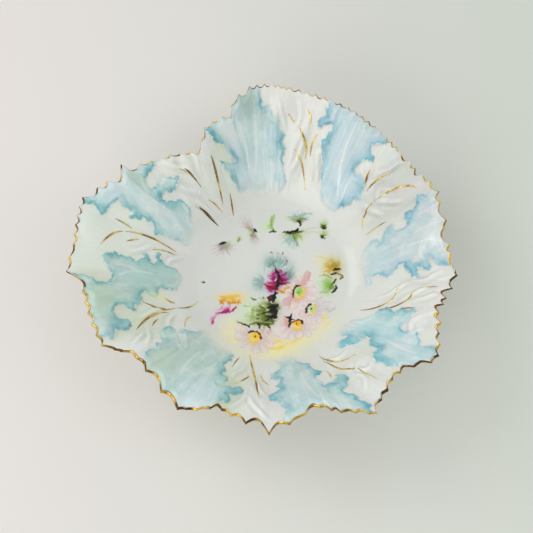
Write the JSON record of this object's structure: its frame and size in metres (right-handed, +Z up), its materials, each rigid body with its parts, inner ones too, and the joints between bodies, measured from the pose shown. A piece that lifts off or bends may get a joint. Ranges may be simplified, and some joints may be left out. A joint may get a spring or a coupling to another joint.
{
  "type": "serving bowl",
  "caption": "Round ruffled porcelain serving bowl with a saw-toothed gilt rim, moulded leaves around the wall, raised gold sprigs and a low foot ring.",
  "frame": {"origin": "centre of the foot ring on the plane the bowl stands on", "axes": "+Z up, -Y toward the viewer of the picture, +X to the right of the picture; the deep notch of the rim is at 125 degrees from +X toward +Y"},
  "size_m": [0.2586, 0.2508, 0.073],
  "materials": {
    "porcelain": "glossy clear glaze over white porcelain, painted in pale blue, green, pink and yellow enamels",
    "foot_porcelain": "glossy clear glaze, wiped bare on the face that stands on the table",
    "rim_gold": "burnished gilding, worn thin in places",
    "sprig_gold": "raised gilding, satin"
  },
  "bodies": {
    "root": {"bowl_body": "porcelain", "foot_ring": "foot_porcelain", "gilt_rim": "rim_gold", "gilt_sprig_1": "sprig_gold", "gilt_sprig_2": "sprig_gold", "gilt_sprig_3": "sprig_gold", "gilt_sprig_4": "sprig_gold", "gilt_sprig_5": "sprig_gold", "gilt_sprig_6": "sprig_gold", "gilt_sprig_7": "sprig_gold", "gilt_sprig_8": "sprig_gold"}
  },
  "joints": []
}
